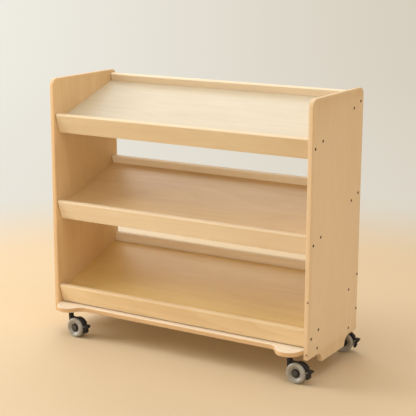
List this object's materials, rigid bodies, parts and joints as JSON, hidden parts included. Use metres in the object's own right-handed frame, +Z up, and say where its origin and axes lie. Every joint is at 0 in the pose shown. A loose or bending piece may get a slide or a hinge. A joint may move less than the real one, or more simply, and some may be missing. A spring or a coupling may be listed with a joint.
{
  "type": "mobile inclined shelving unit",
  "caption": "Plywood shelving unit with inclined, lipped trays between two side panels, on braked swivel casters.",
  "frame": {"origin": "on the floor, midway between the side panels and between their front and rear edges", "axes": "+X to the right along the trays as seen from the front, +Y to the back, +Z up"},
  "size_m": [0.9373, 0.3918, 0.8329],
  "materials": {
    "ply_side": "matt clear lacquer",
    "ply_board": "matt clear lacquer",
    "ply_lip": "matt clear lacquer",
    "bronze_screw": "dark bronze plating",
    "zinc_steel": "bright zinc plating",
    "black_plastic": "fine moulded texture",
    "grey_tyre": "smooth non-marking tread",
    "dark_cap": "smooth moulded"
  },
  "bodies": {
    "case": {"side_left": "ply_side", "side_right": "ply_side", "shelf_top": "ply_board", "shelf_middle": "ply_board", "shelf_bottom": "ply_board", "base_board": "ply_board", "rear_board": "ply_board", "lip_top": "ply_lip", "lip_middle": "ply_lip", "lip_bottom": "ply_lip", "rail_top": "ply_lip", "rail_middle": "ply_lip", "screws_left": "bronze_screw", "screws_right": "bronze_screw", "stem_inserts": "zinc_steel", "stem_front_left": "zinc_steel", "stem_front_right": "zinc_steel", "stem_rear_left": "zinc_steel", "stem_rear_right": "zinc_steel"},
    "caster_front_left": {"housing_front_left": "black_plastic", "axle_front_left": "zinc_steel", "pedal_pin_front_left": "zinc_steel"},
    "wheel_a_front_left": {"hub_a_front_left": "black_plastic", "tyre_a_front_left": "grey_tyre", "cap_a_front_left": "dark_cap"},
    "wheel_b_front_left": {"hub_b_front_left": "black_plastic", "tyre_b_front_left": "grey_tyre", "cap_b_front_left": "dark_cap"},
    "brake_front_left": {"pedal_front_left": "black_plastic"},
    "caster_front_right": {"housing_front_right": "black_plastic", "axle_front_right": "zinc_steel", "pedal_pin_front_right": "zinc_steel"},
    "wheel_a_front_right": {"hub_a_front_right": "black_plastic", "tyre_a_front_right": "grey_tyre", "cap_a_front_right": "dark_cap"},
    "wheel_b_front_right": {"hub_b_front_right": "black_plastic", "tyre_b_front_right": "grey_tyre", "cap_b_front_right": "dark_cap"},
    "brake_front_right": {"pedal_front_right": "black_plastic"},
    "caster_rear_left": {"housing_rear_left": "black_plastic", "axle_rear_left": "zinc_steel", "pedal_pin_rear_left": "zinc_steel"},
    "wheel_a_rear_left": {"hub_a_rear_left": "black_plastic", "tyre_a_rear_left": "grey_tyre", "cap_a_rear_left": "dark_cap"},
    "wheel_b_rear_left": {"hub_b_rear_left": "black_plastic", "tyre_b_rear_left": "grey_tyre", "cap_b_rear_left": "dark_cap"},
    "brake_rear_left": {"pedal_rear_left": "black_plastic"},
    "caster_rear_right": {"housing_rear_right": "black_plastic", "axle_rear_right": "zinc_steel", "pedal_pin_rear_right": "zinc_steel"},
    "wheel_a_rear_right": {"hub_a_rear_right": "black_plastic", "tyre_a_rear_right": "grey_tyre", "cap_a_rear_right": "dark_cap"},
    "wheel_b_rear_right": {"hub_b_rear_right": "black_plastic", "tyre_b_rear_right": "grey_tyre", "cap_b_rear_right": "dark_cap"},
    "brake_rear_right": {"pedal_rear_right": "black_plastic"}
  },
  "joints": [
    {"name": "swivel_front_left", "type": "hinge", "parent": "case", "child": "caster_front_left", "pos_m": [-0.399, -0.1645, 0.06], "axis": [0, 0, 1], "continuous": true},
    {"name": "roll_a_front_left", "type": "hinge", "parent": "caster_front_left", "child": "wheel_a_front_left", "pos_m": [-0.37171, -0.16785, 0.0315], "axis": [0.1219, 0.9925, 0], "continuous": true},
    {"name": "roll_b_front_left", "type": "hinge", "parent": "caster_front_left", "child": "wheel_b_front_left", "pos_m": [-0.37171, -0.16785, 0.0315], "axis": [0.1219, 0.9925, 0], "continuous": true},
    {"name": "brake_front_left", "type": "hinge", "parent": "caster_front_left", "child": "brake_front_left", "pos_m": [-0.33646, -0.17218, 0.03905], "axis": [0.1219, 0.9925, 0], "range_deg": [0, 7]},
    {"name": "swivel_front_right", "type": "hinge", "parent": "case", "child": "caster_front_right", "pos_m": [0.399, -0.1645, 0.06], "axis": [0, 0, 1], "continuous": true},
    {"name": "roll_a_front_right", "type": "hinge", "parent": "caster_front_right", "child": "wheel_a_front_right", "pos_m": [0.42646, -0.16594, 0.0315], "axis": [0.0523, 0.9986, 0], "continuous": true},
    {"name": "roll_b_front_right", "type": "hinge", "parent": "caster_front_right", "child": "wheel_b_front_right", "pos_m": [0.42646, -0.16594, 0.0315], "axis": [0.0523, 0.9986, 0], "continuous": true},
    {"name": "brake_front_right", "type": "hinge", "parent": "caster_front_right", "child": "brake_front_right", "pos_m": [0.46192, -0.1678, 0.03905], "axis": [0.0523, 0.9986, 0], "range_deg": [0, 7]},
    {"name": "swivel_rear_left", "type": "hinge", "parent": "case", "child": "caster_rear_left", "pos_m": [-0.399, 0.15, 0.06], "axis": [0, 0, 1], "continuous": true},
    {"name": "roll_a_rear_left", "type": "hinge", "parent": "caster_rear_left", "child": "wheel_a_rear_left", "pos_m": [-0.37232, 0.15665, 0.0315], "axis": [-0.2419, 0.9703, 0], "continuous": true},
    {"name": "roll_b_rear_left", "type": "hinge", "parent": "caster_rear_left", "child": "wheel_b_rear_left", "pos_m": [-0.37232, 0.15665, 0.0315], "axis": [-0.2419, 0.9703, 0], "continuous": true},
    {"name": "brake_rear_left", "type": "hinge", "parent": "caster_rear_left", "child": "brake_rear_left", "pos_m": [-0.33787, 0.16524, 0.03905], "axis": [-0.2419, 0.9703, 0], "range_deg": [0, 7]},
    {"name": "swivel_rear_right", "type": "hinge", "parent": "case", "child": "caster_rear_right", "pos_m": [0.399, 0.15, 0.06], "axis": [0, 0, 1], "continuous": true},
    {"name": "roll_a_rear_right", "type": "hinge", "parent": "caster_rear_right", "child": "wheel_a_rear_right", "pos_m": [0.4259, 0.15572, 0.0315], "axis": [-0.2079, 0.9781, 0], "continuous": true},
    {"name": "roll_b_rear_right", "type": "hinge", "parent": "caster_rear_right", "child": "wheel_b_rear_right", "pos_m": [0.4259, 0.15572, 0.0315], "axis": [-0.2079, 0.9781, 0], "continuous": true},
    {"name": "brake_rear_right", "type": "hinge", "parent": "caster_rear_right", "child": "brake_rear_right", "pos_m": [0.46063, 0.1631, 0.03905], "axis": [-0.2079, 0.9781, 0], "range_deg": [0, 7]}
  ]
}
